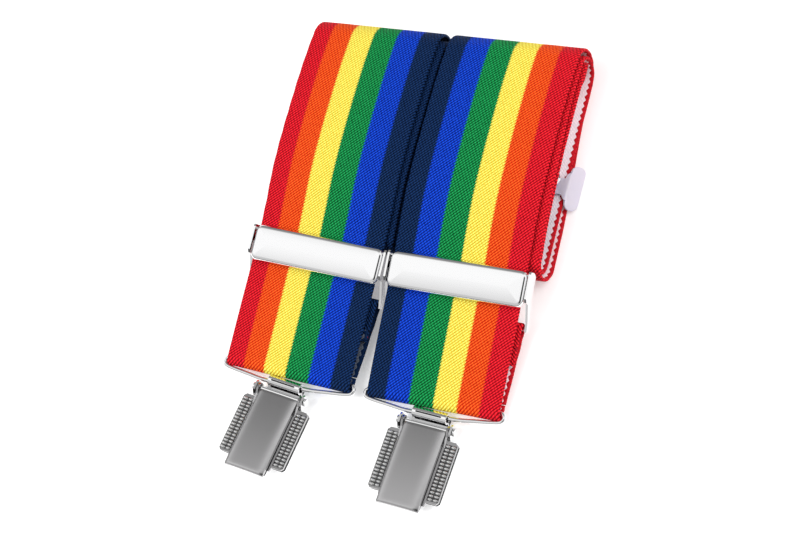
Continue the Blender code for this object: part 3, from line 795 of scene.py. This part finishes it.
def area_light(name, location, size, power):
    """Square light of a size in metres, turned to the object and unseen in reflections."""
    light = bpy.data.lights.new(name, "AREA")
    light.shape = "RECTANGLE"
    light.size = light.size_y = size
    light.energy = power
    made = bpy.data.objects.new(name, light)
    made.location = location
    made.visible_glossy = False
    made.rotation_euler = (-Vector(location)).to_track_quat("-Z", "Y").to_euler()
    bpy.context.scene.collection.objects.link(made)


def studio_light(tree):
    """White tent with a grey patch, a dark spot at the viewer, and a dark room low down."""
    direction = tree.nodes.new("ShaderNodeTexCoord").outputs["Generated"]
    split = tree.nodes.new("ShaderNodeSeparateXYZ")
    tree.links.new(direction, split.inputs[0])

    def toward(vector):
        made = tree.nodes.new("ShaderNodeVectorMath")
        made.operation = "DOT_PRODUCT"
        made.inputs[1].default_value = Vector(vector).normalized()
        tree.links.new(direction, made.inputs[0])
        return made.outputs["Value"]

    level = None
    for value, start, end, one, two in (
        (toward((-0.25, 0.80, 0.55)), 0.62, 0.92, 1.0, 0.25),
        (toward((0.41, -0.25, 0.88)), 0.90, 0.965, 1.0, 0.06),
        (split.outputs["Y"], -0.42, -0.04, 0.58, 1.0),
        (split.outputs["Z"], 0.08, 0.40, 0.03, 1.0),
    ):
        ramp = tree.nodes.new("ShaderNodeMapRange")
        ramp.interpolation_type = "SMOOTHSTEP"
        for name, number in (("From Min", start), ("From Max", end), ("To Min", one), ("To Max", two)):
            ramp.inputs[name].default_value = number
        tree.links.new(value, ramp.inputs["Value"])
        product = tree.nodes.new("ShaderNodeMath")
        product.operation = "MULTIPLY"
        product.inputs[0].default_value = 1.05
        if level:
            tree.links.new(level, product.inputs[0])
        tree.links.new(ramp.outputs["Result"], product.inputs[1])
        level = product.outputs[0]
    tree.links.new(level, tree.nodes["Background"].inputs["Strength"])
    tree.nodes["Background"].inputs["Color"].default_value = (1, 1, 1, 1)


# The table's half size and its height below the object, in metres
TABLE_HALF_M, TABLE_BELOW_M = 3, 0.0003


def white_table():
    """White table under the object, which glows a little so that it stays white."""
    table = Graph("white table").set(Base_Color=(0.8, 0.8, 0.8, 1), Roughness=0.9)
    table.set(Emission_Color=(1, 1, 1, 1), Emission_Strength=0.3)
    square = ((-1, -1), (1, -1), (1, 1), (-1, 1))
    corners = [(x * TABLE_HALF_M, y * TABLE_HALF_M, -TABLE_BELOW_M) for x, y in square]
    floor = mesh_object("floor", corners, [(0, 1, 2, 3)], table.material)


CAMERA_LENS = 87.94
CAMERA_AT_M = (0.28552, -0.17448, 0.61266)
CAMERA_RIGHT = (0.90018, 0.26133, -0.34839)
CAMERA_UP = (-0.14219, 0.93248, 0.33207)


def photo_camera(scene):
    """Camera above the right strap's lower end, looking up along the straps."""
    camera = bpy.data.cameras.new("camera")
    camera.sensor_width = 36.0
    camera.lens = CAMERA_LENS
    made = bpy.data.objects.new("camera", camera)
    right, up = Vector(CAMERA_RIGHT), Vector(CAMERA_UP)
    turn = Matrix((right, up, right.cross(up))).transposed()
    made.matrix_world = Matrix.Translation(CAMERA_AT_M) @ turn.to_4x4()
    scene.collection.objects.link(made)
    scene.camera = made


def build_stage():
    """Table, lights and camera."""
    scene = bpy.context.scene
    scene.view_settings.view_transform = "Standard"
    scene.world = bpy.data.worlds.new("studio")
    scene.world.use_nodes = True
    studio_light(scene.world.node_tree)
    white_table()
    area_light("key", (-0.45, -0.35, 0.9), 0.7, 9.2)
    area_light("fill", (0.8, 0.3, 0.6), 0.8, 8.0)
    photo_camera(scene)


build_object()
build_stage()
bpy.context.view_layer.update()
